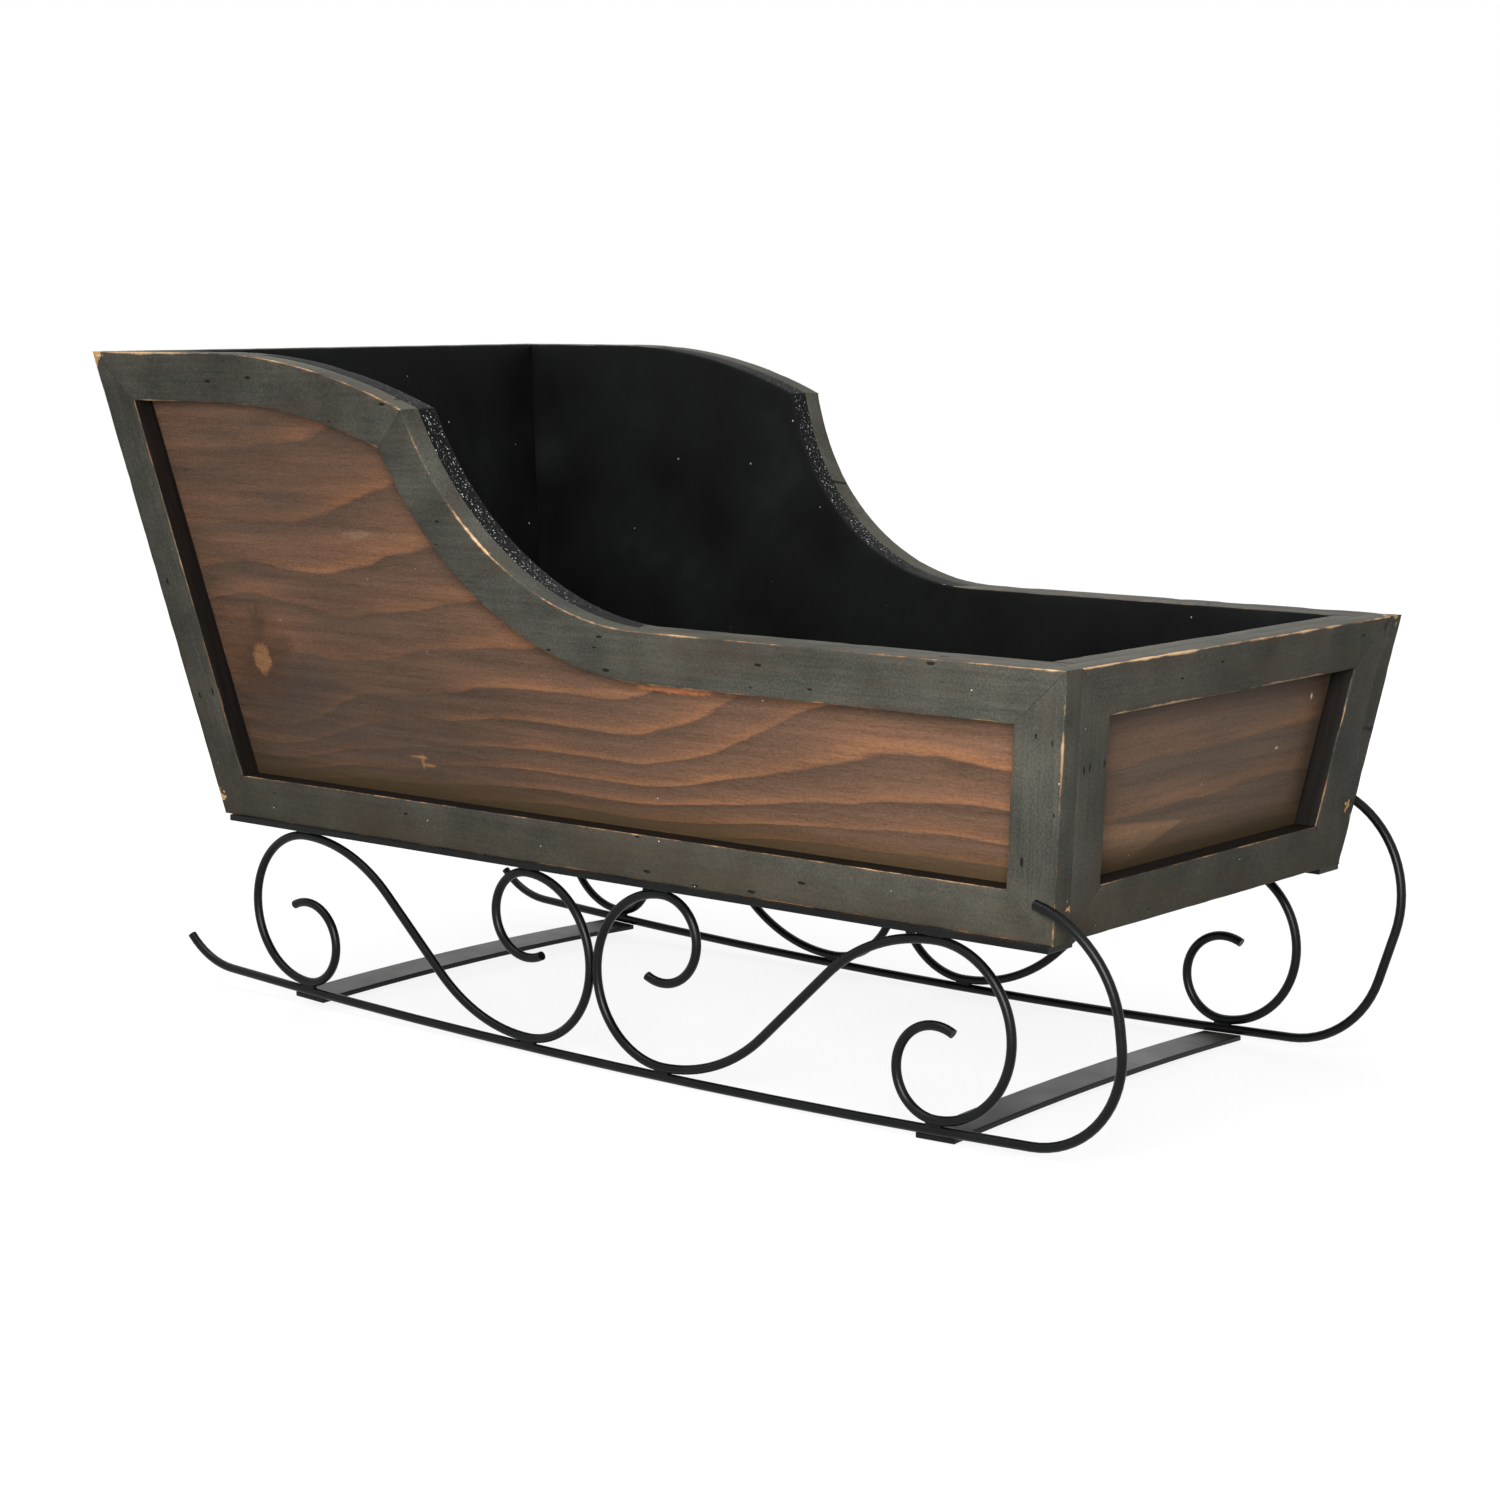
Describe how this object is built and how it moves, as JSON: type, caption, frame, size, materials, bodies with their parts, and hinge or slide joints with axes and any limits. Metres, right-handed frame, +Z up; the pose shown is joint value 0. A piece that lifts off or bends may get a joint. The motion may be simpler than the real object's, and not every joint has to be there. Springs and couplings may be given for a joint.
{
  "type": "decorative wooden sleigh",
  "caption": "Display sleigh: flared open wooden body with stained panels in dark mitred frames and swept sides, carried on bowed iron rod runners with scrolls.",
  "frame": {"origin": "on the ground, under the middle of the sleigh's length and width", "axes": "+X forward, to the runners' curled noses; +Y to the sleigh's left; +Z up"},
  "size_m": [0.5784, 0.3108, 0.3206],
  "materials": {
    "frame_paint": "dark paint, rubbed through at the edges",
    "stained_board": "walnut stain outside, flat black inside",
    "black_floor": "flat black paint",
    "black_iron": "satin black"
  },
  "bodies": {
    "root": {"floor_board": "black_floor", "right_side_board": "stained_board", "right_bottom_rail": "frame_paint", "right_rear_stile": "frame_paint", "right_front_stile": "frame_paint", "right_sweep_rail": "frame_paint", "right_arch_rail": "frame_paint", "left_side_board": "stained_board", "left_bottom_rail": "frame_paint", "left_rear_stile": "frame_paint", "left_front_stile": "frame_paint", "left_sweep_rail": "frame_paint", "left_arch_rail": "frame_paint", "front_board": "stained_board", "front_top_rail": "frame_paint", "front_bottom_rail": "frame_paint", "front_right_stile": "frame_paint", "front_left_stile": "frame_paint", "back_board": "stained_board", "back_top_rail": "frame_paint", "back_bottom_rail": "frame_paint", "back_right_stile": "frame_paint", "back_left_stile": "frame_paint", "right_bar": "black_iron", "right_runner": "black_iron", "right_rear_scroll": "black_iron", "right_front_scroll": "black_iron", "left_bar": "black_iron", "left_runner": "black_iron", "left_rear_scroll": "black_iron", "left_front_scroll": "black_iron", "front_strap": "black_iron", "rear_strap": "black_iron"}
  },
  "joints": []
}
